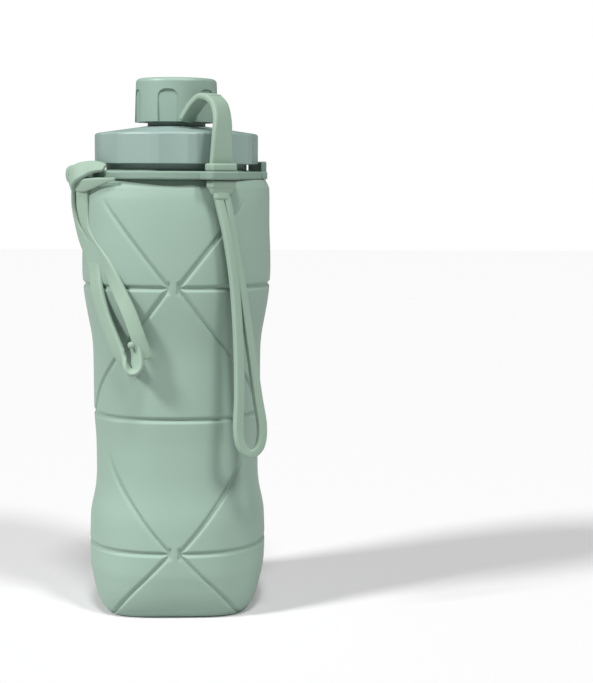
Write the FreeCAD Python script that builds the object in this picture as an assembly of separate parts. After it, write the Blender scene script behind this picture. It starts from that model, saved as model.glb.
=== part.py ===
"""Folding silicone water bottle with a screw lid, a small drinking cap, a tether and two straps.

Millimetres, +Z up. The origin is the centre of the base, on the surface the bottle stands on.
The front of the bottle faces -Y and its folding gussets open towards -X and +X.
"""
import FreeCAD, Part
import math
import os

V = FreeCAD.Vector

# Overall heights
HEIGHT = 235.0
SHOULDER_Z = 188.0
RING_BOTTOM_Z = 191.0
RING_THICK = 3.5
LID_BOTTOM_Z = 197.6
LID_EDGE_Z = 210.8
LID_TOP_Z = 214.0
CAP_BOTTOM_Z = 215.8

# Fold lines of the silicone body
LOWER_CREASE_Z = 30.2
UPPER_CREASE_Z = 145.3

# Cuts between the parts of the wall that move as one
BASE_CUT_Z = 19.5
LOWER_CUT_Z = 69.5
UPPER_CUT_Z = 115.7
SHOULDER_CUT_Z = 170.0

WALL = 1.8
FLOOR = 3.0
SOFT_GAP = 0.3
FIT = 0.06

# Neck, lid and cap
COLLAR_R = 33.0
INSERT_R = 31.0
NECK_BORE_R = 28.0
NECK_RIM_Z = 206.7
LID_R = 36.0
LID_BORE_R = 32.4
SCALLOPS = 14
FIRST_SCALLOP_DEG = -25.7
SPOUT_R = 12.75
SPOUT_BORE_R = 9.5
SPOUT_TOP_Z = 230.0
CAP_R = 18.35
CAP_TOP_R = 17.7
RECESS_TOP_Z = 229.8
FIRST_RECESS_DEG = -10.0

# Strap ring lugs, as degrees from the front towards +X
RING_R = 38.5
RING_EDGE_R = 0.8
TETHER_DEG = 28.5
STRAP_DEG = -80.0
HOOK_DEG = 85.0
HOOK_SPAN_DEG = 37.0
HOOK_R = 39.8
HOOK_TOP_Z = 199.0
SLOT_R = 42.8

# Outer half widths of the body: height, half width in X, half width in Y, roundness
PROFILE = [
    (0.0, 31.5, 30.5, 3.4),
    (3.0, 34.0, 33.0, 3.4),
    (11.0, 37.0, 36.0, 3.0),
    (21.0, 39.2, 38.0, 2.6),
    (30.2, 39.4, 38.2, 2.4),
    (43.0, 39.0, 37.8, 2.4),
    (54.0, 36.8, 36.2, 2.4),
    (69.5, 36.2, 35.8, 2.4),
    (88.5, 37.0, 36.4, 2.4),
    (115.7, 37.3, 36.8, 2.4),
    (129.0, 39.2, 38.4, 2.4),
    (145.3, 41.4, 39.6, 2.4),
    (154.0, 41.7, 39.8, 2.4),
    (165.5, 41.4, 39.4, 2.4),
    (180.0, 41.4, 38.4, 2.3),
    (188.0, 41.0, 36.4, 2.2),
    (191.0, 39.2, 33.8, 2.1),
]


def save(node, shape):
    """Write one solid as its own STEP file."""
    solid = shape.Solids[0] if len(shape.Solids) == 1 else shape
    if len(shape.Solids) != 1 or not solid.isValid():
        raise RuntimeError(node + " is not one valid solid")
    solid.exportStep(os.path.join("parts", node + ".step"))
    print(node, round(solid.Volume), "mm3")


def section_at(z):
    """Half width in X, half width in Y and roundness of the outer wall at a height."""
    for low, high in zip(PROFILE, PROFILE[1:]):
        if z <= high[0]:
            t = (z - low[0]) / (high[0] - low[0])
            return [p + (q - p) * t for p, q in zip(low[1:], high[1:])]
    return list(PROFILE[-1][1:])


def wall_point(z, inset, angle):
    """Point of the wall at a height, inset from the outer face, angle from +X."""
    a, b, n = section_at(z)
    c = math.cos(angle)
    s = math.sin(angle)
    x = (a - inset) * math.copysign(abs(c) ** (2 / n), c)
    y = (b - inset) * math.copysign(abs(s) ** (2 / n), s)
    return V(x, y, z)


def arc_points(z, inset, start, end, count):
    """Points round the wall, bunched to keep the spacing even near the flats."""
    step = (end - start) / count
    return [wall_point(z, inset, start + step * k) for k in range(count + 1)]


def closed_wire(z, inset):
    """Closed smooth section of the body at a height."""
    curve = Part.BSplineCurve()
    curve.interpolate(arc_points(z, inset, 0.0, 2 * math.pi, 40)[:-1], PeriodicFlag=True)
    return Part.Wire([curve.toShape()])


def band_heights(low, high):
    """The two ends of a band and the profile heights between them."""
    return [low] + [p[0] for p in PROFILE if low + 1.0 < p[0] < high - 1.0] + [high]


def body_loft(low, high, inset):
    """Closed loft through the body's sections between two heights."""
    wires = [closed_wire(z, inset) for z in band_heights(low, high)]
    return Part.makeLoft(wires, True, False)


def half_section(z, side):
    """C-shaped section of the wall on one side of the bottle (side is -1 or 1)."""
    edge = math.asin((SOFT_GAP / 2 / section_at(z)[0]) ** 1.2)
    start = -math.pi / 2 + edge
    end = math.pi / 2 - edge
    outer = arc_points(z, 0.0, start, end, 24)
    inner = arc_points(z, WALL, end, start, 24)
    for p in outer + inner:
        p.x = side * max(p.x, SOFT_GAP / 2)
    edges = []
    for points in (outer, inner):
        curve = Part.BSplineCurve()
        curve.interpolate(points)
        edges.append(curve.toShape())
    edges.insert(1, Part.makeLine(outer[-1], inner[0]))
    edges.append(Part.makeLine(inner[-1], outer[0]))
    return Part.Wire(edges)


def half_band(low, high, side):
    """One side of the wall between two heights."""
    wires = [half_section(z, side) for z in band_heights(low + SOFT_GAP / 2, high - SOFT_GAP / 2)]
    return Part.makeLoft(wires, True, False)


def revolve(points):
    """Solid of revolution about Z from (radius, height) points."""
    path = [V(r, 0, z) for r, z in points]
    face = Part.Face(Part.makePolygon(path + path[:1]))
    return face.revolve(V(0, 0, 0), V(0, 0, 1), 360)


def place(shape, radius, degrees, z=0.0):
    """Move a shape built about the origin, its outward side at -Y, to a place round the bottle."""
    shape = shape.copy()
    shape.translate(V(0, -radius, z))
    shape.rotate(V(0, 0, 0), V(0, 0, 1), degrees)
    return shape


def block(width, depth, low, high):
    """Box centred on the Z axis."""
    return Part.makeBox(width, depth, high - low, V(-width / 2, -depth / 2, low))


def rounded_block(width, depth, low, high, radius):
    """Box centred on the Z axis with its upright edges rounded."""
    box = block(width, depth, low, high)
    upright = [e for e in box.Edges if abs(e.tangentAt(e.FirstParameter).z) > 0.9]
    return box.makeFillet(radius, upright)


def soften(shape, radius, chosen):
    """Round the edges that a test picks."""
    return shape.makeFillet(radius, [e for e in shape.Edges if chosen(e)])


def edge_middle(edge):
    """Distance from the Z axis and height of the middle of an edge."""
    p = edge.valueAt((edge.FirstParameter + edge.LastParameter) / 2)
    return math.hypot(p.x, p.y), p.z


def is_upright(edge):
    """Whether an edge is a straight line along Z."""
    return edge.Curve.TypeId == "Part::GeomLine" and abs(edge.Curve.Direction.z) > 0.99


def make_base_cup():
    """Floor and foot of the silicone body."""
    outer = body_loft(0.0, BASE_CUT_Z - SOFT_GAP / 2, 0.0)
    inner = body_loft(FLOOR, BASE_CUT_Z + 1.0, WALL)
    save("base_cup", outer.cut(inner))


def make_gussets():
    """Side walls that fold outwards, left and right, four levels from base to shoulder."""
    levels = [
        ("base_gusset", BASE_CUT_Z, LOWER_CREASE_Z),
        ("lower_gusset", LOWER_CREASE_Z, LOWER_CUT_Z),
        ("upper_gusset", UPPER_CUT_Z, UPPER_CREASE_Z),
        ("shoulder_gusset", UPPER_CREASE_Z, SHOULDER_CUT_Z),
    ]
    for name, low, high in levels:
        save(name + "_left", half_band(low, high, -1))
        save(name + "_right", half_band(low, high, 1))


def make_waist_band():
    """Wall round the waist of the body, which folds inwards."""
    low = LOWER_CUT_Z + SOFT_GAP / 2
    high = UPPER_CUT_Z - SOFT_GAP / 2
    save("waist_band", body_loft(low, high, 0.0).cut(body_loft(low, high, WALL)))


def make_shoulder():
    """Top of the silicone body with the collar that grips the neck insert."""
    low = SHOULDER_CUT_Z + SOFT_GAP / 2
    outer = body_loft(low, RING_BOTTOM_Z, 0.0)
    collar = Part.makeCylinder(COLLAR_R, 5.0, V(0, 0, RING_BOTTOM_Z - 1.0))
    hollow = body_loft(low, SHOULDER_Z - 0.5, WALL)
    bore = Part.makeCylinder(INSERT_R + FIT, 20.0, V(0, 0, SHOULDER_Z - 2.0))
    save("shoulder", outer.fuse(collar).cut(hollow).cut(bore).removeSplitter())


def make_neck_insert():
    """Rigid threaded ring moulded into the silicone collar."""
    body = revolve([
        (NECK_BORE_R, 180.0), (INSERT_R - 0.3, 180.0), (INSERT_R - 0.3, 187.4), (INSERT_R, 187.4),
        (INSERT_R, NECK_RIM_Z), (NECK_BORE_R, NECK_RIM_Z),
    ])
    save("neck_insert", body)


def make_hook_wall():
    """Upright curved wall on the ring's right side that the wrist loop hooks over."""
    section = [(HOOK_R - 2.2, RING_BOTTOM_Z + 0.8), (HOOK_R, RING_BOTTOM_Z + 0.8),
               (HOOK_R, HOOK_TOP_Z), (HOOK_R - 2.2, HOOK_TOP_Z)]
    path = [V(0, -r, z) for r, z in section]
    wall = Part.Face(Part.makePolygon(path + path[:1])).revolve(V(0, 0, 0), V(0, 0, 1), HOOK_SPAN_DEG)
    wall = soften(wall, 0.7, lambda e: edge_middle(e)[1] > HOOK_TOP_Z - 0.1)
    wall.rotate(V(0, 0, 0), V(0, 0, 1), HOOK_DEG)
    return wall


def make_strap_ring():
    """Flat ring round the collar with a slotted lug, a strap lug and a hook."""
    low = RING_BOTTOM_Z
    top = low + RING_THICK
    ring = Part.makeCylinder(RING_R, RING_THICK, V(0, 0, low))
    lug = rounded_block(16.0, 12.0, low, top, 3.0)
    for degrees in (TETHER_DEG, STRAP_DEG):
        ring = ring.fuse(place(lug, SLOT_R - 2.2, degrees))
    ring = soften(ring.removeSplitter(), RING_EDGE_R, lambda e: edge_middle(e)[1] in (low, top))
    arm = rounded_block(9.0, 8.0, low, top, 1.5)
    arm = soften(arm, RING_EDGE_R, lambda e: edge_middle(e)[1] in (low, top))
    ring = ring.fuse(place(arm, 36.1, HOOK_DEG)).fuse(make_hook_wall())
    ring = ring.cut(place(block(8.8, 4.0, low - 1, low + 5), SLOT_R, TETHER_DEG))
    ring = ring.cut(place(block(10.6, 4.6, low - 1, low + 5), SLOT_R - 0.8, STRAP_DEG))
    ring = ring.cut(Part.makeCylinder(COLLAR_R + FIT, 20.0, V(0, 0, low - 5)))
    save("strap_ring", ring.removeSplitter())


def make_lid():
    """Screw lid with scalloped, rounded grip and the drinking spout in its middle."""
    body = revolve([
        (LID_BORE_R, LID_BOTTOM_Z), (LID_R, LID_BOTTOM_Z), (LID_R, LID_EDGE_Z), (SPOUT_R + 1.2, LID_TOP_Z),
        (SPOUT_R, LID_TOP_Z), (SPOUT_R, SPOUT_TOP_Z), (SPOUT_BORE_R, SPOUT_TOP_Z),
        (SPOUT_BORE_R, 208.5), (LID_BORE_R, 208.5),
    ])
    scallop = Part.makeCylinder(45.0, 20.0, V(0, -45.0 - LID_R + 0.9, LID_BOTTOM_Z - 1))
    for k in range(SCALLOPS):
        cutter = scallop.copy()
        cutter.rotate(V(0, 0, 0), V(0, 0, 1), FIRST_SCALLOP_DEG + 360.0 / SCALLOPS * k)
        body = body.cut(cutter)
    rim = LID_R - 2.0
    body = soften(body, 1.6, lambda e: is_upright(e) and edge_middle(e)[0] > rim)
    body = soften(body, 1.2, lambda e: edge_middle(e)[0] > rim and edge_middle(e)[1] > LID_EDGE_Z - 0.5)
    body = soften(body, 0.4, lambda e: edge_middle(e)[0] > rim and edge_middle(e)[1] < LID_BOTTOM_Z + 0.1)
    save("lid", body)


def make_lid_gasket():
    """Flat silicone seal between the neck's rim and the lid."""
    save("lid_gasket", revolve([(26.5, 206.9), (31.6, 206.9), (31.6, 208.4), (26.5, 208.4)]))


def make_cap():
    """Drinking cap with six arched grip recesses."""
    body = revolve([
        (13.3, CAP_BOTTOM_Z), (CAP_R, CAP_BOTTOM_Z), (CAP_TOP_R, HEIGHT - 0.35), (8.0, HEIGHT),
        (0.0, HEIGHT), (0.0, 232.4), (13.3, 232.4),
    ])
    body = soften(body, 1.9, lambda e: edge_middle(e)[0] > 17.0 and edge_middle(e)[1] > HEIGHT - 1.0)
    arch = rounded_block(9.0, 19.0, 0.0, 6.0, 3.6)
    arch.rotate(V(0, 0, 0), V(1, 0, 0), 90)
    for k in range(6):
        body = body.cut(place(arch, 17.05, FIRST_RECESS_DEG + 60.0 * k, RECESS_TOP_Z - 9.5))
    save("cap", body)


def make_cap_seal():
    """Soft disc inside the cap that closes the spout."""
    save("cap_seal", revolve([(0.0, 230.3), (12.9, 230.3), (12.9, 232.1), (0.0, 232.1)]))


def strip(points, width):
    """Flat strip standing in the radial plane: an outline of (radius, height) given a width."""
    path = [V(-width / 2, -r, z) for r, z in points]
    return Part.Face(Part.makePolygon(path + path[:1])).extrude(V(width, 0, 0))


def make_tether():
    """Silicone tether from the cap to the strap ring, with a stopper above and below the slot."""
    end = strip([(18.8, 217.0), (21.6, 217.0), (25.2, 222.6), (23.2, 224.6)], 9.0)
    save("tether_end", place(end, 0.0, 20.0))
    arch = strip([
        (23.8, 225.0), (25.8, 223.2), (29.5, 225.2), (33.5, 224.6), (37.0, 221.4), (39.2, 215.0),
        (40.2, 206.0), (40.6, 198.2), (43.4, 198.2), (43.0, 206.0), (41.8, 216.0), (39.2, 223.2),
        (34.8, 227.2), (29.0, 227.8),
    ], 9.6)
    save("tether_arch", place(arch, 0.0, TETHER_DEG))
    upper = rounded_block(11.4, 6.4, 194.7, 197.9, 1.2)
    lower = rounded_block(11.4, 6.0, 187.2, 190.8, 1.2)
    core = block(8.0, 3.2, 188.0, 196.0)
    save("tether_stoppers", place(upper.fuse(lower).fuse(core), SLOT_R, TETHER_DEG))


def plate(corners, normal, thick):
    """Flat plate of a given thickness on a planar outline."""
    face = Part.Face(Part.makePolygon(corners + corners[:1]))
    face.translate(normal * (-thick / 2))
    return face.extrude(normal * thick)


def strap_frame(top, bottom, facing):
    """Unit vectors across, down and out of a strap that hangs from top to bottom."""
    down = (bottom - top).normalize()
    angle = math.radians(facing)
    out = V(math.sin(angle), -math.cos(angle), 0)
    out = (out - down * out.dot(down)).normalize()
    return down.cross(out), down, out


def make_loop_strap(node, top, bottom, facing, outline, slit, thick):
    """Flat strap with a long slit: outlines as (across, down) from the pivot at the top."""
    across, down, out = strap_frame(top, bottom, facing)
    shapes = []
    for points, extra in ((outline, 0.0), (slit, 2.0)):
        corners = [top + across * u + down * w for u, w in points]
        shapes.append(plate(corners, out, thick + extra))
    save(node, shapes[0].cut(shapes[1]))


def make_carry_loop():
    """Long wrist loop hanging below the slotted lug."""
    angle = math.radians(TETHER_DEG)
    top = V(SLOT_R * math.sin(angle), -SLOT_R * math.cos(angle), 186.4)
    outline = [(-4.2, 0.0), (4.2, 0.0), (9.0, 104.0), (7.2, 112.0), (2.5, 116.0), (-2.5, 116.0),
               (-7.2, 112.0), (-9.0, 104.0)]
    slit = [(-0.4, 9.0), (0.4, 9.0), (4.9, 102.0), (3.4, 109.0), (0.0, 111.6), (-3.4, 109.0),
            (-4.9, 102.0)]
    make_loop_strap("carry_loop", top, V(31.3, -45.5, 70.0), 33.0, outline, slit, 2.8)


def make_finger_strap():
    """Short finger strap looped over the lug on the left."""
    wrap = rounded_block(9.8, 7.6, 187.4, 198.0, 2.0)
    wrap = wrap.cut(block(12.0, 3.7, RING_BOTTOM_Z - 0.1, RING_BOTTOM_Z + RING_THICK + 0.1))
    save("strap_hitch", place(wrap, 45.4, STRAP_DEG))
    make_finger_loop()


def make_finger_loop():
    """Band that hangs from the hitch and wraps to the front, where it splits into a loop."""
    angle = math.radians(STRAP_DEG)
    top = V(47.2 * math.sin(angle), -47.2 * math.cos(angle), 184.6)
    bend = V(-41.3, -24.2, 153.0)
    across, down, out = strap_frame(top, bend, -70.0)
    corners = [top + across * u + down * w for u, w in [(-5.5, 0), (5.5, 0), (5.5, 40), (-5.5, 40)]]
    band = plate(corners, out, 2.2)
    across, down, out = strap_frame(bend, V(-24.2, -38.8, 106.0), -47.0)
    outline = [(-5.5, -2), (5.5, -2), (9.0, 10), (9.5, 34), (6.5, 46), (0, 50.5), (-6.5, 46),
               (-9.5, 34), (-9.0, 10)]
    slit = [(-2.0, 7), (2.0, 7), (5.0, 14), (5.5, 33), (3.6, 42), (0, 45), (-3.6, 42), (-5.5, 33),
            (-5.0, 14)]
    loop = plate([bend + across * u + down * w for u, w in outline], out, 2.2)
    loop = loop.cut(plate([bend + across * u + down * w for u, w in slit], out, 4.2))
    save("finger_strap", band.fuse(loop).removeSplitter())


os.makedirs("parts", exist_ok=True)
make_base_cup()
make_gussets()
make_waist_band()
make_shoulder()
make_neck_insert()
make_strap_ring()
make_lid()
make_lid_gasket()
make_cap()
make_cap_seal()
make_tether()
make_carry_loop()
make_finger_strap()
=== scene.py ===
import bpy
import math
from mathutils import Matrix, Vector


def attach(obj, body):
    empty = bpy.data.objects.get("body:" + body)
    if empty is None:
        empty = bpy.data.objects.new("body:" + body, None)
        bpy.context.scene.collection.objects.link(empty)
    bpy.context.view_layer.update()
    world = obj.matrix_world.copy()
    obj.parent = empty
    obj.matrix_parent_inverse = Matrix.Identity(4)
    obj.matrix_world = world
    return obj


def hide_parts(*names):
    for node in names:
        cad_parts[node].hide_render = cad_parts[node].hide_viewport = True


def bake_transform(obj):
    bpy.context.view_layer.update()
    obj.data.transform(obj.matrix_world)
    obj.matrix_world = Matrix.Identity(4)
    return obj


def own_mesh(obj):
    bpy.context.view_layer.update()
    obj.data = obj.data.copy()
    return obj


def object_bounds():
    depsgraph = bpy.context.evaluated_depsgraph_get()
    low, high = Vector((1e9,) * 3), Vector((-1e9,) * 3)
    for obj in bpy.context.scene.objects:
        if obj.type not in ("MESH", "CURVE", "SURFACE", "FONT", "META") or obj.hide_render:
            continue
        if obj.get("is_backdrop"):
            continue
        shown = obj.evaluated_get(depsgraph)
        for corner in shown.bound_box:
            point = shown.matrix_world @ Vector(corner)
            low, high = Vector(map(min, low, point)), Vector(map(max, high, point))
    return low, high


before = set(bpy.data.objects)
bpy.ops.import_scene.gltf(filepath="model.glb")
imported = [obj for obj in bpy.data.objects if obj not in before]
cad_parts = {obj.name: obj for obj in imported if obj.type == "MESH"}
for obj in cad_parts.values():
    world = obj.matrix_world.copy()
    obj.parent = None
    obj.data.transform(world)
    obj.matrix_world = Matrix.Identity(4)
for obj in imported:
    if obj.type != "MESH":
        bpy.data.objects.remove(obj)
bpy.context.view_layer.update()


# ---------------------------------------------------------------- studio
# A plain white table in a white room, lit by a strong softbox high on the left and two weaker
# ones, high on the right and overhead. The camera stands in front, a little above the middle.
def linear(hex_colour):
    """Linear RGBA of an sRGB hex colour."""
    values = [int(hex_colour[i:i + 2], 16) / 255 for i in (1, 3, 5)]
    return [v / 12.92 if v <= 0.04045 else ((v + 0.055) / 1.055) ** 2.4 for v in values] + [1.0]


def add_node(tree, kind, settings, links=()):
    """Add a node, set its sockets or properties by name, and link sockets into it."""
    node = tree.nodes.new(kind)
    for key, value in settings.items():
        if key in node.inputs:
            node.inputs[key].default_value = value
        else:
            setattr(node, key, value)
    for key, source in dict(links).items():
        tree.links.new(source, node.inputs[key])
    return node


def new_material(name):
    """Empty material with its output, ready for a shader."""
    material = bpy.data.materials.new(name)
    material.use_nodes = True
    material.node_tree.nodes.clear()
    return material, material.node_tree, material.node_tree.nodes.new("ShaderNodeOutputMaterial")


bpy.ops.object.select_all(action="DESELECT")
bpy.ops.mesh.primitive_plane_add(size=6, location=(0, 0, 0))
floor = bpy.context.object
floor.name = "studio_floor"
# Matt white paper: no gloss, so it only shows soft shadows.
paper, tree, output = new_material("Matt white paper")
shader = add_node(tree, "ShaderNodeBsdfPrincipled", {
    "Base Color": linear("#cfcfcf"), "Roughness": 0.9, "Specular IOR Level": 0.1})
tree.links.new(shader.outputs[0], output.inputs[0])
floor.data.materials.append(paper)
floor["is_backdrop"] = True

LIGHTS = [
    # name, where it shines from, strength, how broad it is in degrees
    ("key_softbox", (-0.85, -0.42, 0.78), 3.1, 10),
    ("fill_softbox", (0.50, -0.55, 0.85), 1.6, 11),
    ("top_softbox", (0.05, -0.45, 1.00), 1.6, 12),
]
for name, source, strength, breadth in LIGHTS:
    lamp = bpy.data.lights.new(name, "SUN")
    lamp.energy = strength
    lamp.angle = math.radians(breadth)
    holder = bpy.data.objects.new(name, lamp)
    holder.location = source
    holder.rotation_euler = Vector(source).to_track_quat("Z", "Y").to_euler()
    bpy.context.scene.collection.objects.link(holder)

world = bpy.data.worlds.new("White room")
world.use_nodes = True
room = world.node_tree
seen = add_node(room, "ShaderNodeLightPath", {})
backdrop = add_node(room, "ShaderNodeBackground", {"Color": linear("#ffffff"), "Strength": 1.0})
bounce = room.nodes["Background"]
bounce.inputs["Color"].default_value = linear("#ffffff")
bounce.inputs["Strength"].default_value = 0.10
either = add_node(room, "ShaderNodeMixShader", {}, {"Fac": seen.outputs["Is Camera Ray"]})
room.links.new(bounce.outputs[0], either.inputs[1])
room.links.new(backdrop.outputs[0], either.inputs[2])
room.links.new(either.outputs[0], room.nodes["World Output"].inputs["Surface"])
bpy.context.scene.world = world
bpy.context.scene.view_settings.view_transform = "Standard"

camera_data = bpy.data.cameras.new("camera")
camera_data.lens = 75.8
camera = bpy.data.objects.new("camera", camera_data)
camera.location = (0.0263, -0.6445, 0.1942)
camera.rotation_euler = (math.radians(90 - 6.70), math.radians(-0.34), math.radians(-2.39))
bpy.context.scene.collection.objects.link(camera)
bpy.context.scene.camera = camera


# ---------------------------------------------------------------- silicone body
# One thick-walled moulding in matt silicone. Shallow grooves are moulded where it folds: one round
# each of three creases, and a cross at the front and back of the upper and lower crease.
MM = 0.001
LOWER_CREASE = 30.2
WAIST_CREASE = 88.5
UPPER_CREASE = 145.3
SHOULDER = 188.0
GROOVE_HALF_WIDTH = 1.7
GROOVE_DEPTH = 1.05
# an arm runs slantwise, so a step round the wall is longer than the same step across the arm
ARM_SLANT = 0.79
# the raised strip that bridges a crease in the middle of a cross, and the short groove at each side
BRIDGE_HALF_WIDTH = 1.9
BRIDGE_HALF_HEIGHT = 4.8
BRIDGE_RISE = 0.35
FLANK_OFFSET = 2.0
FLANK_HALF_WIDTH = 0.8
FLANK_HALF_HEIGHT = 3.0
FLANK_DEPTH = 0.85
SKIN = 0.9
# how far the folded lips reach, and how wide and how deep a gusset's hidden flap is at rest
LIP_REACH = 22.0
FLAP = 2.5
FLAP_DEPTH = 2.1

# height: half width across, half width front to back, roundness of the corners
BODY_PROFILE = [
    (0.0, 30.8, 29.6, 4.2), (0.5, 31.6, 30.4, 4.2), (1.6, 32.5, 31.2, 4.1), (4.0, 34.4, 33.2, 3.8),
    (11.0, 37.0, 36.0, 3.2), (16.0, 38.2, 37.1, 2.9), (21.0, 39.1, 37.9, 2.7), (30.2, 39.4, 38.2, 2.45),
    (43.0, 39.0, 37.8, 2.4), (48.5, 37.9, 37.0, 2.4), (54.0, 36.8, 36.2, 2.4), (62.0, 36.2, 35.8, 2.4),
    (75.0, 36.3, 35.8, 2.4), (88.5, 37.1, 36.4, 2.4), (115.7, 37.3, 36.8, 2.4),
    (122.0, 37.8, 37.3, 2.4), (130.0, 39.2, 38.3, 2.4), (138.0, 40.6, 39.2, 2.4),
    (145.3, 41.4, 39.7, 2.4), (152.0, 41.7, 39.8, 2.4), (160.0, 41.6, 39.6, 2.4),
    (172.0, 41.2, 39.0, 2.35), (182.0, 41.2, 38.0, 2.3), (187.0, 41.1, 36.8, 2.2),
    (188.0, 40.8, 36.3, 2.2), (189.5, 40.1, 35.1, 2.15), (191.0, 39.2, 33.8, 2.1),
]
# how far each arm of a cross stands from the middle: height, distance
ARMS = {
    "base": [(0.0, 28.0), (1.6, 27.2), (7.0, 23.4), (14.0, 17.4), (22.0, 9.6), (30.2, 1.9)],
    "lower": [(30.2, 1.9), (41.0, 11.2), (53.0, 20.0), (61.0, 24.6), (69.0, 28.2), (75.0, 29.2),
              (88.5, 29.4)],
    "upper": [(88.5, 36.0), (100.0, 33.2), (114.0, 25.4), (129.0, 14.1), (145.3, 1.9)],
    "shoulder": [(145.3, 1.9), (161.0, 14.4), (173.0, 23.6), (181.0, 29.2), (184.0, 30.4), (188.0, 30.8)],
}
# how deep the arms are cut at a height
ARM_DEPTH = {
    "base": [(0.0, 0.2), (3.0, 1.0), (30.2, 1.0)],
    "lower": [(30.2, 1.0), (60.0, 1.0), (67.0, 0.6), (72.0, 0.0), (88.5, 0.0)],
    "upper": [(88.5, 1.0), (145.3, 1.0)],
    "shoulder": [(145.3, 1.0), (168.0, 0.9), (178.0, 0.45), (184.0, 0.0), (188.0, 0.0)],
}


def along(table, height):
    """Smooth values of a table of (height, values...) at a height, without overshoot."""
    last = len(table) - 2
    k = next((i for i in range(last + 1) if height <= table[i + 1][0]), last)
    low, high = table[k], table[k + 1]
    span = high[0] - low[0]
    t = min(1.0, max(0.0, (height - low[0]) / span))
    values = []
    for c in range(1, len(low)):
        rise = (high[c] - low[c]) / span
        before = rise if k == 0 else (low[c] - table[k - 1][c]) / (low[0] - table[k - 1][0])
        after = rise if k == last else (table[k + 2][c] - high[c]) / (table[k + 2][0] - high[0])
        m0 = 0.0 if before * rise <= 0 else 2 * before * rise / (before + rise)
        m1 = 0.0 if after * rise <= 0 else 2 * after * rise / (after + rise)
        values.append((2 * t ** 3 - 3 * t ** 2 + 1) * low[c] + (t ** 3 - 2 * t ** 2 + t) * span * m0
                      + (3 * t ** 2 - 2 * t ** 3) * high[c] + (t ** 3 - t ** 2) * span * m1)
    return values


def polar(x, height, side=-1):
    """Direction in plan of the wall point at a distance x from the middle, front (-1) or back (1)."""
    a, b, n = along(BODY_PROFILE, height)
    y = b * max(0.0, 1 - abs(x / a) ** n) ** (1 / n)
    return math.atan2(side * y, x)


def reach(angle, height):
    """Distance of the smooth wall from the axis in a direction."""
    a, b, n = along(BODY_PROFILE, height)
    return (abs(math.cos(angle) / a) ** n + abs(math.sin(angle) / b) ** n) ** (-1 / n)


def groove(distance):
    """Rounded V: 1 at its bottom, 0 outside its flanks."""
    return 0.5 + 0.5 * math.cos(math.pi * min(1.0, abs(distance) / GROOVE_HALF_WIDTH))


def ring_groove(height, x):
    """Depth of the grooves that run round the creases, left out where a bridge joins two panels."""
    bridged = min(1.0, max(0.0, (abs(x) - BRIDGE_HALF_WIDTH + 0.5) / 0.6))
    depth = groove(height - WAIST_CREASE)
    for crease in (LOWER_CREASE, UPPER_CREASE):
        depth = max(depth, groove(height - crease) * bridged)
    return depth


def bridged_depth(depth, x, height):
    """Depth of the wall once a bridge and the short grooves beside it are laid over the creases."""
    crease = LOWER_CREASE if height < WAIST_CREASE else UPPER_CREASE
    x, off = abs(x), abs(height - crease)
    strip = max(0.0, 1 - (x / 2.1) ** 6) * max(0.0, 1 - (off / BRIDGE_HALF_HEIGHT) ** 4)
    flank = max(0.0, 1 - ((x - FLANK_OFFSET) / FLANK_HALF_WIDTH) ** 2)
    flank *= max(0.0, 1 - (off / FLANK_HALF_HEIGHT) ** 4)
    raised = BRIDGE_RISE * math.exp(-(x / 1.2) ** 4)
    return max(depth * (1 - strip) - raised * strip, FLANK_DEPTH * flank)


def in_plan(r, angle, height):
    """Point in metres at a distance from the axis, a direction and a height."""
    return Vector((r * math.cos(angle) * MM, r * math.sin(angle) * MM, height * MM))


def wall_point(angle, height, level):
    """Point of the moulded wall, grooves and bridges included."""
    r = reach(angle, height)
    x = r * math.cos(angle)
    arm = along(ARMS[level], height)[0]
    quarter = math.atan2(abs(math.sin(angle)), abs(math.cos(angle)))
    away = abs(quarter - abs(polar(arm, height))) * r * ARM_SLANT
    depth = max(ring_groove(height, x), groove(away) * along(ARM_DEPTH[level], height)[0])
    if abs(math.sin(angle)) > 0.5:
        depth = bridged_depth(depth, x, height)
    return in_plan(r - depth * GROOVE_DEPTH, angle, height)


def flap_point(angle, height):
    """Point of a gusset's flap, which lies flat behind the panel next to it."""
    return in_plan(reach(angle, height) - FLAP_DEPTH, angle, height)


def spread(length, middle):
    """Distances along a length, close together at both ends where the grooves are."""
    fine = [0.0, 0.3, 0.6, 0.9, 1.2, 1.5, 1.8, 2.3, 3.0, 3.8, 4.6, 5.4]
    scale = min(1.0, 0.42 * length / fine[-1])
    edge = [f * scale for f in fine]
    gap = (length - 2 * edge[-1]) / (middle + 1)
    inner = [edge[-1] + gap * (k + 1) for k in range(middle)]
    return edge + inner + [length - e for e in reversed(edge)]


def grid_sheet(name, rows):
    """Sheet of quads through rows of points, started as a plain grid."""
    columns = len(rows[0])
    bpy.ops.object.select_all(action="DESELECT")
    bpy.ops.mesh.primitive_grid_add(x_subdivisions=columns - 1, y_subdivisions=len(rows) - 1, size=2)
    piece = bpy.context.object
    piece.name = name
    for vertex in piece.data.vertices:
        column = round((vertex.co.x + 1) / 2 * (columns - 1))
        row = round((vertex.co.y + 1) / 2 * (len(rows) - 1))
        vertex.co = rows[row][column]
    return piece


def thicken(piece, thickness, merge=False):
    """Close a sheet into a wall, inwards from its outer face."""
    bpy.ops.object.select_all(action="DESELECT")
    piece.select_set(True)
    bpy.context.view_layer.objects.active = piece
    if merge:
        bpy.ops.object.mode_set(mode="EDIT")
        bpy.ops.mesh.select_all(action="SELECT")
        bpy.ops.mesh.remove_doubles(threshold=1e-6)
        bpy.ops.object.mode_set(mode="OBJECT")
    wall = piece.modifiers.new("wall", "SOLIDIFY")
    wall.thickness = thickness * MM
    wall.offset = -1
    bpy.ops.object.modifier_apply(modifier="wall")


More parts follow.
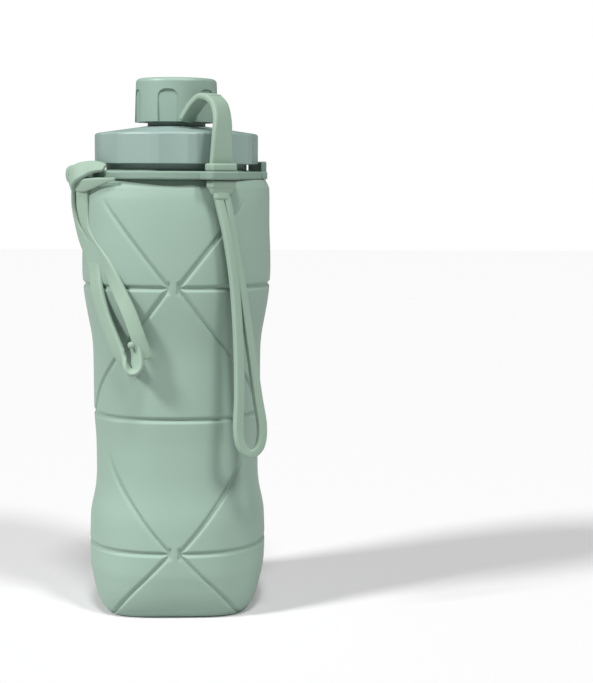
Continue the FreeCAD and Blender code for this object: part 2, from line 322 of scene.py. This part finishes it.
def finish_piece(piece, material, smooth_angle=40):
    """Give a piece its material and soft shading."""
    piece.data.materials.clear()
    piece.data.materials.append(material)
    bpy.ops.object.select_all(action="DESELECT")
    piece.select_set(True)
    bpy.context.view_layer.objects.active = piece
    bpy.ops.object.shade_smooth_by_angle(angle=math.radians(smooth_angle))


# where a gusset's flap starts to widen and where it is widest
FLAP_RUN = {"base": (0.0, LOWER_CREASE), "lower": (WAIST_CREASE, LOWER_CREASE),
            "upper": (WAIST_CREASE, UPPER_CREASE), "shoulder": (SHOULDER, UPPER_CREASE)}


def flap_width(level, height):
    """How far a gusset reaches behind the panel beside it, from where it slides out when folded."""
    start, end = FLAP_RUN[level]
    t = (height - start) / (end - start)
    return LIP_REACH * t * t * (3 - 2 * t) + FLAP


def panel_rows(level, low, high, side):
    """Rows of a front or back panel (side -1 or 1), which lies between two arms of a cross."""
    rows = []
    for up in spread(high - low, 12):
        height = low + up
        arm = along(ARMS[level], height)[0]
        first, last = sorted((polar(-arm, height, side), polar(arm, height, side)))
        width = (last - first) * reach((first + last) / 2, height)
        turn = (last - first) / width
        rows.append([wall_point(first + turn * w, height, level) for w in spread(width, 22)])
    return rows


def gusset_rows(level, low, high, side):
    """Rows of a side gusset (side -1 or 1) with the flaps hidden behind the panels next to it."""
    rows = []
    for up in spread(high - low, 12):
        height = low + up
        arm = along(ARMS[level], height)[0]
        edge = polar(arm, height)
        tuck = polar(arm - flap_width(level, height), height)
        row = [flap_point(tuck + (edge - tuck) * k / 10, height) for k in range(11)]
        width = -2 * edge * reach(0.0, height)
        row += [wall_point(edge - 2 * edge * w / width, height, level) for w in spread(width, 34)]
        row += [flap_point(-edge - (tuck - edge) * k / 10, height) for k in range(11)]
        if side < 0:
            row = [Vector((-p.x, p.y, p.z)) for p in reversed(row)]
        rows.append(row)
    return rows


def moulded(name, colours, drift_scale, grain, strength, surface):
    """Moulded plastic: slight colour drift, and a grain of (scale, detail) left by the mould."""
    material, tree, output = new_material(name)
    place = add_node(tree, "ShaderNodeTexCoord", {}).outputs["Object"]
    drift = add_node(tree, "ShaderNodeTexNoise", {"Scale": drift_scale, "Detail": 2.0}, {"Vector": place})
    tint = add_node(tree, "ShaderNodeMix", {"data_type": "RGBA"})
    tint_in = [socket for socket in tint.inputs if socket.type == "RGBA"]
    tint_out = [socket for socket in tint.outputs if socket.type == "RGBA"]
    for socket, colour in zip(tint_in, colours):
        socket.default_value = linear(colour)
    tree.links.new(drift.outputs["Fac"], tint.inputs["Factor"])
    fine = add_node(tree, "ShaderNodeTexNoise", {"Scale": grain[0], "Detail": grain[1]}, {"Vector": place})
    bump = add_node(tree, "ShaderNodeBump", {"Strength": strength, "Distance": 0.2 * MM},
                    {"Height": fine.outputs["Fac"]})
    shader = add_node(tree, "ShaderNodeBsdfPrincipled", surface,
                      {"Base Color": tint_out[0], "Normal": bump.outputs["Normal"]})
    tree.links.new(shader.outputs[0], output.inputs[0])
    return material


# Moulded silicone is matt: soft broad highlights and a faint powdery bloom. The grain of its blasted
# mould is drawn at 0.5 mm, coarser than the real 0.1 mm, so that it shows.
def silicone(name, colour, shade, bloom):
    """Silicone from a blasted mould, with more or less bloom."""
    return moulded(name, (colour, shade), 22.0, (2000.0, 2.0), 0.05, {
        "Roughness": 0.62, "IOR": 1.41, "Specular IOR Level": 0.42,
        "Sheen Weight": bloom, "Sheen Roughness": 0.5})


body_silicone = silicone("Moulded silicone, sage", "#8ba295", "#869d90", 0.05)

LEVELS = [
    # level, lowest, highest, body that holds it, fixed height, share of its height kept when folded
    ("base", 0.0, LOWER_CREASE, "base", 0.0, 10.7 / 30.2),
    ("lower", LOWER_CREASE, WAIST_CREASE, "waist", WAIST_CREASE, 8.3 / 58.3),
    ("upper", WAIST_CREASE, UPPER_CREASE, "waist", WAIST_CREASE, 11.3 / 56.8),
    ("shoulder", UPPER_CREASE, SHOULDER, "neck", SHOULDER, 7.7 / 42.7),
]
for level, low, high, holder, fixed, keep in LEVELS:
    for side, word in ((-1, "front"), (1, "back")):
        piece = grid_sheet(f"{level}_panel_{word}", panel_rows(level, low, high, side))
        thicken(piece, SKIN)
        finish_piece(piece, body_silicone)
        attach(piece, holder)
        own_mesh(piece)
        if level == "upper":
            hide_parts("waist_band")
    for side, word in ((-1, "left"), (1, "right")):
        piece = grid_sheet(f"{level}_gusset_skin_{word}", gusset_rows(level, low, high, side))
        thicken(piece, SKIN)
        finish_piece(piece, body_silicone)
        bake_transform(piece)
        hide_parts(f"{level}_gusset_{word}")


# ---------------------------------------------------------------- base and shoulder of the body
# The same silicone moulding closes below in a foot with a shallow hollow, and above in a shoulder
# that steps in to a collar gripping the hard neck.
AROUND = 144


def turned_rows(outline):
    """Closed rows all round the bottle, each between the wall's own outline and a circle.

    A row is its height, the height the wall's outline is taken at, how far inside that it lies,
    the radius of the circle, and the circle's share.
    """
    rows = []
    for height, wall_height, inset, circle, share in outline:
        row = []
        for k in range(AROUND + 1):
            angle = 2 * math.pi * (k % AROUND) / AROUND
            r = (reach(angle, wall_height) - inset) * (1 - share) + circle * share
            row.append(in_plan(r, angle, height))
        rows.append(row)
    return rows


foot = [(1.0, 0.0, 0.0, 0.0, 1.0), (1.0, 0.0, 0.0, 12.0, 1.0), (1.0, 0.0, 7.5, 0.0, 0.0),
        (0.9, 0.0, 6.6, 0.0, 0.0), (0.3, 0.0, 5.8, 0.0, 0.0), (0.0, 0.0, 5.0, 0.0, 0.0),
        (0.0, 0.0, 2.0, 0.0, 0.0), (0.0, 0.0, 0.5, 0.0, 0.0), (0.0, 0.0, 0.0, 0.0, 0.0)]
piece = grid_sheet("base_foot", turned_rows(foot))
thicken(piece, SKIN, merge=True)
finish_piece(piece, body_silicone)
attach(piece, "base")
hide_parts("base_cup")

top = [(h, h, 0.0, 0.0, 0.0) for h in (188.0, 188.3, 188.6, 189.0, 189.5, 190.0, 190.4, 190.7)]
top += [(190.95, 191.0, 0.4, 0.0, 0.0), (191.0, 191.0, 1.0, 0.0, 0.0), (191.0, 191.0, 2.0, 33.6, 0.6),
        (191.0, 191.0, 0.0, 33.1, 1.0), (191.3, 191.0, 0.0, 33.0, 1.0), (194.6, 191.0, 0.0, 33.0, 1.0),
        (194.9, 191.0, 0.0, 32.9, 1.0), (195.0, 191.0, 0.0, 32.5, 1.0), (195.0, 191.0, 0.0, 31.1, 1.0)]
piece = grid_sheet("shoulder_top", turned_rows(top))
thicken(piece, SKIN, merge=True)
finish_piece(piece, body_silicone)
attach(piece, "neck")
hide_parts("shoulder")


# ---------------------------------------------------------------- tether and stoppers
# A flat silicone band from the cap's skirt arches over the lid and ends in two square stoppers, one
# above and one below the strap ring's slot, which lock it into the slot.
# The straps are the body's matt silicone with a little more yellow in it.
trim_silicone = silicone("Moulded silicone, light sage", "#8da393", "#889e8e", 0.05)
# corners round a strap's section, and the domes that close its ends: share of the section, height
SECTION_POINTS = 20
END_DOME = [(0.0, 0.5), (0.55, 0.5), (0.84, 0.38), (0.97, 0.16)]


def catmull(points, steps):
    """Smooth run through points of any number of values."""
    padded = [points[0]] + list(points) + [points[-1]]
    out = []
    for k in range(len(points) - 1):
        for i in range(steps):
            t = i / steps
            out.append([0.5 * (2 * b + (c - a) * t + (2 * a - 5 * b + 4 * c - d) * t * t
                               + (3 * b - a - 3 * c + d) * t ** 3) for a, b, c, d in zip(*padded[k:k + 4])])
    return out + [list(points[-1])]


def squared(value, power):
    """Power of a sine or cosine that keeps its sign and turns a circle towards a square."""
    return math.copysign(abs(value) ** power, value)


def section(run, facing, tilt, width, thickness, corner):
    """Outline of a strap across its run, from the way its outer face looks and tilts up."""
    facing, tilt = math.radians(facing), math.radians(tilt)
    level = math.cos(tilt)
    out = Vector((math.sin(facing) * level, -math.cos(facing) * level, math.sin(tilt)))
    out = (out - run * out.dot(run)).normalized()
    across = run.cross(out)
    outline = []
    for c in range(SECTION_POINTS + 1):
        turn = 2 * math.pi * (c % SECTION_POINTS) / SECTION_POINTS + 0.01
        u = squared(math.cos(turn), corner) * width / 2
        v = squared(math.sin(turn), corner) * thickness / 2
        outline.append(across * u + out * v)
    return outline


def strap(name, stations, steps=8, corner=0.35):
    """Flat band through stations of (x, y, z, facing, tilt up, width, thickness)."""
    samples = catmull([list(map(float, station)) for station in stations], steps)
    centres = [Vector(sample[:3]) for sample in samples]
    last = len(samples) - 1
    runs = [(centres[min(k + 1, last)] - centres[max(k - 1, 0)]).normalized() for k in range(last + 1)]
    outlines = [section(run, *sample[3:], corner) for run, sample in zip(runs, samples)]

    def ring(k, size, push):
        """Row of points round a sample, shrunk and pushed along the run for the ends."""
        centre = centres[k] + runs[k] * push * samples[k][6] * 0.7
        return [(offset * size + centre) * MM for offset in outlines[k]]

    rows = [ring(0, size, -push) for size, push in END_DOME]
    rows += [ring(k, 1.0, 0.0) for k in range(last + 1)]
    rows += [ring(last, size, push) for size, push in reversed(END_DOME)]
    piece = grid_sheet(name, rows)
    bpy.ops.object.mode_set(mode="EDIT")
    bpy.ops.mesh.select_all(action="SELECT")
    bpy.ops.mesh.remove_doubles(threshold=2e-6)
    bpy.ops.mesh.normals_make_consistent(inside=False)
    bpy.ops.object.mode_set(mode="OBJECT")
    finish_piece(piece, trim_silicone, 55)
    return piece


piece = strap("tether_band_outer", [
    (20.1, -36.2, 197.0, 29, 0, 10.6, 2.9),
    (20.2, -36.6, 201.7, 31, 0, 10.0, 2.9),
    (20.4, -36.4, 209.5, 37, 0, 9.5, 2.8),
    (20.5, -35.0, 216.3, 43, 8, 9.2, 2.8),
    (19.1, -31.8, 222.5, 45, 35, 9.0, 2.8),
    (16.2, -28.2, 225.6, 44, 65, 9.0, 2.8),
])
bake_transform(piece)
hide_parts("tether_arch")
piece = strap("tether_band_inner", [
    (17.0, -28.9, 225.3, 44, 60, 9.0, 2.8),
    (13.0, -25.6, 226.0, 43, 90, 9.0, 2.8),
    (9.7, -23.4, 223.3, 43, 122, 8.6, 2.8),
    (6.9, -21.8, 219.5, 44, 135, 8.2, 2.8),
    (5.0, -20.8, 216.4, 45, 140, 8.0, 2.6),
])
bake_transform(piece)
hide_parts("tether_end")


# the stoppers stand at the ring's slot
SLOT_RADIUS = 42.0
SLOT_DEGREES = 28.5


def stopper(name, width, depth, low, high, taper=1.0, rounding=0.8):
    """Block across the slot with rounded edges, its lower face narrowed."""
    bpy.ops.object.select_all(action="DESELECT")
    bpy.ops.mesh.primitive_cube_add(size=1)
    piece = bpy.context.object
    piece.name = name
    turn = Matrix.Rotation(math.radians(SLOT_DEGREES), 4, "Z")
    for vertex in piece.data.vertices:
        narrow, z = (taper, low) if vertex.co.z < 0 else (1.0, high)
        x = vertex.co.x * width * narrow
        y = vertex.co.y * depth * narrow - SLOT_RADIUS
        vertex.co = turn @ Vector((x * MM, y * MM, z * MM))
    edge = piece.modifiers.new("edge", "BEVEL")
    edge.width = rounding * MM
    edge.segments = 4
    bpy.ops.object.modifier_apply(modifier="edge")
    finish_piece(piece, trim_silicone)
    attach(piece, "neck")
    return piece


upper_stopper = stopper("tether_stopper_upper", 11.9, 7.2, 194.5, 197.8)
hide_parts("tether_stoppers")
stopper("tether_stopper_lower", 11.4, 6.4, 187.4, 190.8, 0.97)
stopper("tether_stopper_neck", 11.0, 6.0, 184.6, 188.4, 0.72, 1.0)


# ---------------------------------------------------------------- wrist loop
# Below its stoppers the same moulding runs on as a long flat loop that hangs down the front right.
# It pulls over the folded bottle and hooks on the ring to hold it shut.
loop_neck = strap("wrist_loop_neck", [
    (19.9, -37.0, 187.4, 29, 0, 8.6, 3.4),
    (20.1, -38.0, 185.4, 29, 0, 7.4, 3.0),
    (20.3, -38.5, 183.4, 29, 0, 7.0, 2.8),
], corner=0.45)
loop_strand = strap("wrist_loop_strand", [
    (18.9, -38.6, 183.5, 29, 0, 3.6, 2.8),
    (19.9, -39.2, 179.6, 29, 0, 3.7, 2.8),
    (22.9, -40.5, 166.5, 30, 0, 3.7, 2.8),
    (25.7, -41.6, 146.9, 31, 0, 3.8, 2.8),
    (27.4, -42.7, 122.2, 33, 0, 4.1, 2.8),
    (27.8, -43.5, 100.4, 34, 0, 4.3, 2.8),
    (27.4, -43.9, 86.0, 35, 0, 4.3, 2.8),
    (28.8, -43.6, 78.6, 35, 0, 4.0, 2.8),
    (32.6, -42.0, 75.2, 35, 0, 3.6, 2.8),
    (36.5, -39.4, 78.2, 35, 0, 4.0, 2.8),
    (37.4, -38.3, 86.5, 35, 0, 4.2, 2.8),
    (35.3, -38.8, 100.2, 34, 0, 4.1, 2.8),
    (32.2, -39.4, 122.1, 33, 0, 3.8, 2.8),
    (28.6, -39.4, 146.8, 31, 0, 3.5, 2.8),
    (25.2, -38.4, 166.5, 30, 0, 3.3, 2.8),
    (23.0, -37.5, 179.6, 29, 0, 3.2, 2.8),
    (22.1, -37.0, 183.5, 29, 0, 3.2, 2.8),
], 10)
for piece in (loop_neck, loop_strand):
    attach(piece, "carry_loop")
    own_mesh(piece)
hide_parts("carry_loop")


# ---------------------------------------------------------------- finger strap
# A flat silicone band hitched round the ring's left lug. Its two strands cross, lie on the body's
# front left and open into a finger loop. The left one turns back at the bottom, under a small stud.
hitch_upper = strap("strap_hitch_upper", [
    (-30.2, -24.2, 195.8, -20, 55, 5.0, 1.8),
    (-33.5, -23.0, 196.0, -28, 48, 6.4, 2.1),
    (-37.4, -20.3, 195.3, -40, 36, 7.8, 2.2),
    (-42.5, -17.2, 193.5, -52, 20, 8.8, 2.2),
    (-45.0, -13.6, 190.4, -66, 6, 8.6, 2.2),
    (-44.6, -11.3, 186.6, -76, 0, 7.0, 2.2),
], corner=0.45)
hitch_lower = strap("strap_hitch_lower", [
    (-44.4, -12.0, 189.5, -70, 0, 5.0, 2.2),
    (-41.3, -17.0, 188.4, -50, -5, 6.0, 2.2),
    (-37.4, -21.5, 188.6, -45, -10, 5.4, 2.2),
    (-32.7, -26.0, 189.7, -38, -10, 3.8, 2.0),
    (-28.6, -29.5, 190.5, -34, -8, 2.2, 1.6),
    (-25.0, -32.0, 191.1, -32, -5, 1.2, 1.2),
], corner=0.45)
# the wrap is one turn round the lug's outer bar
LUG_DEGREES = -80
LUG_BAR_RADIUS = 45.3
RING_MIDDLE = 192.75
wrap_stations = []
for turn in range(0, 361, 30):
    out = LUG_BAR_RADIUS + 2.5 * squared(math.cos(math.radians(turn)), 0.8)
    up = RING_MIDDLE + 3.2 * squared(math.sin(math.radians(turn)), 0.8)
    place = Matrix.Rotation(math.radians(LUG_DEGREES), 4, "Z") @ Vector((0, -out, up))
    wrap_stations.append((*place, LUG_DEGREES, turn, 9.6, 1.9))
hitch_wrap = strap("strap_hitch_wrap", wrap_stations, 4, 0.45)
for piece in (hitch_upper, hitch_lower, hitch_wrap):
    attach(piece, "neck")
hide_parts("strap_hitch")
strand_left = strap("finger_strap_left", [
    (-44.4, -10.5, 187.4, -82, 0, 5.4, 2.2),
    (-44.3, -10.8, 179.1, -85, 0, 5.0, 2.2),
    (-42.6, -12.5, 171.8, -78, 0, 5.4, 2.2),
    (-39.7, -16.5, 165.0, -62, 0, 6.5, 2.2),
    (-36.0, -21.5, 158.8, -52, 0, 8.0, 2.2),
    (-34.0, -25.5, 152.6, -50, 0, 8.2, 2.2),
    (-32.8, -29.5, 143.9, -48, 0, 7.2, 2.2),
    (-29.8, -33.0, 133.6, -44, 0, 6.6, 2.2),
    (-25.6, -36.5, 123.7, -38, -5, 6.4, 2.2),
    (-22.1, -39.0, 116.3, -36, -30, 6.2, 2.2),
    (-19.5, -41.0, 112.3, -34, -75, 6.0, 2.2),
    (-16.9, -42.4, 110.6, -34, -120, 6.0, 2.2),
    (-15.1, -42.6, 113.4, -34, -160, 6.0, 2.2),
    (-15.4, -41.6, 118.4, -34, -178, 5.4, 2.2),
    (-16.7, -40.6, 122.5, -34, -180, 4.4, 2.0),
])
strand_right = strap("finger_strap_right", [
    (-39.6, -17.0, 187.5, -40, 0, 7.0, 2.2),
    (-39.5, -17.5, 179.3, -40, 0, 7.2, 2.2),
    (-38.5, -18.2, 172.9, -48, 0, 6.2, 2.2),
    (-36.9, -20.0, 167.8, -74, 0, 6.0, 2.2),
    (-33.5, -24.5, 162.4, -78, 0, 6.4, 2.2),
    (-30.4, -29.0, 157.6, -62, 0, 6.8, 2.2),
    (-26.9, -33.0, 151.9, -46, 0, 6.4, 2.2),
    (-22.7, -37.2, 143.7, -25, 0, 6.2, 2.2),
    (-18.9, -40.2, 136.0, -6, 0, 6.2, 2.2),
    (-15.7, -41.6, 127.7, 8, 0, 6.2, 2.2),
    (-13.3, -41.6, 120.5, 16, 0, 6.2, 2.2),
    (-12.1, -41.2, 116.2, 18, 0, 6.2, 2.2),
])
bpy.ops.object.select_all(action="DESELECT")
bpy.ops.mesh.primitive_uv_sphere_add(
    segments=24, ring_count=12, radius=1.5 * MM, location=(-17.6 * MM, -43.2 * MM, 121.8 * MM))
stud = bpy.context.object
stud.name = "finger_strap_stud"
bpy.ops.object.mode_set(mode="EDIT")
bpy.ops.mesh.select_all(action="SELECT")
bpy.ops.transform.resize(value=(1.0, 0.75, 1.0))
bpy.ops.object.mode_set(mode="OBJECT")
bpy.ops.object.transform_apply(location=True, rotation=True, scale=True)
finish_piece(stud, trim_silicone)
for piece in (strand_left, strand_right, stud):
    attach(piece, "finger_strap")
    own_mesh(piece)
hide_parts("finger_strap")


# ---------------------------------------------------------------- strap ring
# A flat ring moulded in a greyer, firmer silicone and stretched round the collar under the lid.
# Its lugs carry the straps, and its curved hook takes the wrist loop when the bottle is folded.
def give_cad(node, material):
    """Give a piece that is shown as it was modelled its material."""
    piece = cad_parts[node]
    piece.data.materials.clear()
    piece.data.materials.append(material)


ring_silicone = silicone("Moulded silicone, grey sage", "#7d9387", "#798f83", 0.03)
give_cad("strap_ring", ring_silicone)


# ---------------------------------------------------------------- screw lid and neck
# Lid and neck are injection moulded polypropylene in a cooler grey green than the silicone. The
# neck is pressed into the collar, and the lid screws on to it.
# Polypropylene is satin and slightly waxy. The grain of its spark-eroded mould is drawn at 0.4 mm,
# coarser than the real 0.05 mm, so that it shows.
def polypropylene(name, colour, shade, roughness):
    """Polypropylene from a spark-eroded mould."""
    return moulded(name, (colour, shade), 30.0, (2400.0, 1.0), 0.04, {"Roughness": roughness, "IOR": 1.49})


lid_plastic = polypropylene("Moulded polypropylene, grey sage", "#8a9f99", "#869b95", 0.42)
give_cad("lid", lid_plastic)
give_cad("neck_insert", lid_plastic)


# ---------------------------------------------------------------- drinking cap
# A small cap of the same polypropylene in the body's sage, with arched grip recesses. It screws on
# to the spout in the middle of the lid.
cap_plastic = polypropylene("Moulded polypropylene, sage", "#8ba296", "#879e92", 0.45)
give_cad("cap", cap_plastic)


# ---------------------------------------------------------------- seals
# A flat silicone ring under the lid seals the neck, and a soft disc inside the cap seals the spout.
# Both are moulded clear, so they look milky.
seal_silicone = silicone("Milky silicone seal", "#d5dbd6", "#ccd3cd", 0.0)
give_cad("lid_gasket", seal_silicone)
give_cad("cap_seal", seal_silicone)


low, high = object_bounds()
